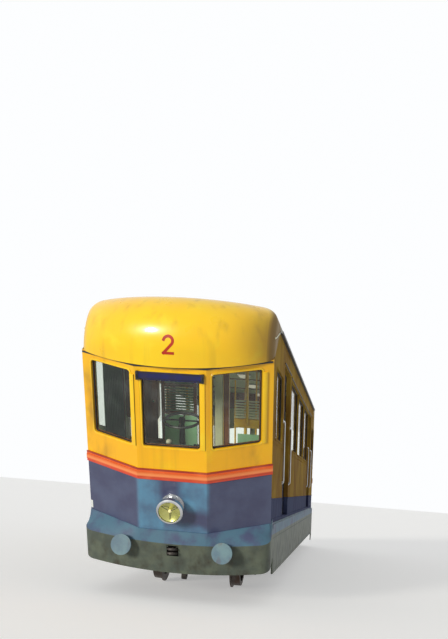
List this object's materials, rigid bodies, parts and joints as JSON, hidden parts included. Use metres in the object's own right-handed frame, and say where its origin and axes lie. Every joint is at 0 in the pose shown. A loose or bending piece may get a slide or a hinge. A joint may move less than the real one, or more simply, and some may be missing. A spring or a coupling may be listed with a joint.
{
  "type": "funicular car",
  "caption": "Slanted two-axle funicular car with faceted glazed ends, stepped floor, sliding doors, buffers, headlamps and turning wheelsets.",
  "frame": {"origin": "middle of the car's box on the plane of the wheel flanges", "axes": "+X uphill along the track, +Y to the left seen facing uphill, +Z square to the track"},
  "size_m": [13.5021, 2.27, 3.4149],
  "materials": {
    "frame_steel": "matt black frame paint with dust",
    "floor_board": "ribbed floor covering on pressed plate",
    "body_paint": "glossy body paint, warm yellow over slate blue",
    "roof_paint": "weathered light roof paint",
    "stripe_paint": "glossy orange-red paint on a raised moulding",
    "skirt_paint": "dusty grey-green paint",
    "board_paint": "navy paint, blank",
    "door_paint": "dark blue door paint",
    "desk_paint": "pale green enamel",
    "buffer_paint": "worn grey-teal paint on steel",
    "pole_paint": "worn yellow enamel",
    "dark_trim": "dark trim paint",
    "bright_metal": "bright plated metal",
    "cast_steel": "dark cast steel",
    "wheel_steel": "rolled steel, bright on the tread",
    "spring_rubber": "rubber spring",
    "varnished_wood": "varnished wood",
    "window_glass": "clear window glass",
    "lens_glass": "fluted pale yellow lens"
  },
  "bodies": {
    "car": {"solebars": "frame_steel", "cross_bearers": "frame_steel", "body_brackets": "frame_steel", "headstocks": "frame_steel", "body_sills": "frame_steel", "stepped_floor": "floor_board", "left_side_wall": "body_paint", "right_side_wall": "body_paint", "side_glass": "window_glass", "skirts": "skirt_paint", "uphill_end_wall": "body_paint", "downhill_end_wall": "body_paint", "end_glass": "window_glass", "uphill_dome": "body_paint", "downhill_dome": "body_paint", "roof": "roof_paint", "waist_mouldings": "stripe_paint", "gutters": "dark_trim", "uphill_apron": "skirt_paint", "downhill_apron": "skirt_paint", "headlamps": "bright_metal", "headlamp_lenses": "lens_glass", "blind_boards": "board_paint", "buffers": "buffer_paint", "towing_jaws": "cast_steel", "rope_anchor": "cast_steel", "axle_boxes": "cast_steel", "axle_springs": "spring_rubber", "horn_guides": "frame_steel", "rail_brakes": "cast_steel", "door_rails": "dark_trim", "cab_partitions": "varnished_wood", "driving_desks": "desk_paint", "brake_handwheels": "bright_metal", "benches": "varnished_wood", "grab_poles": "pole_paint"},
    "uphill_wheelset": {"uphill_wheelset": "wheel_steel"},
    "downhill_wheelset": {"downhill_wheelset": "wheel_steel"},
    "uphill_left_door": {"uphill_left_door": "door_paint", "uphill_left_door_glass": "window_glass"},
    "downhill_left_door": {"downhill_left_door": "door_paint", "downhill_left_door_glass": "window_glass"},
    "uphill_right_door": {"uphill_right_door": "door_paint", "uphill_right_door_glass": "window_glass"},
    "downhill_right_door": {"downhill_right_door": "door_paint", "downhill_right_door_glass": "window_glass"}
  },
  "joints": [
    {"name": "uphill_axle_spin", "type": "hinge", "parent": "car", "child": "uphill_wheelset", "pos_m": [3.48245, 0, 0.368], "axis": [0, 1, 0], "continuous": true},
    {"name": "downhill_axle_spin", "type": "hinge", "parent": "car", "child": "downhill_wheelset", "pos_m": [-3.11755, 0, 0.368], "axis": [0, 1, 0], "continuous": true},
    {"name": "uphill_left_door_slide", "type": "slide", "parent": "car", "child": "uphill_left_door", "axis": [-1, 0, 0], "range_m": [0, 1.0956]},
    {"name": "downhill_left_door_slide", "type": "slide", "parent": "car", "child": "downhill_left_door", "axis": [1, 0, 0], "range_m": [0, 1.0956]},
    {"name": "uphill_right_door_slide", "type": "slide", "parent": "car", "child": "uphill_right_door", "axis": [-1, 0, 0], "range_m": [0, 1.0956]},
    {"name": "downhill_right_door_slide", "type": "slide", "parent": "car", "child": "downhill_right_door", "axis": [1, 0, 0], "range_m": [0, 1.0956]}
  ]
}
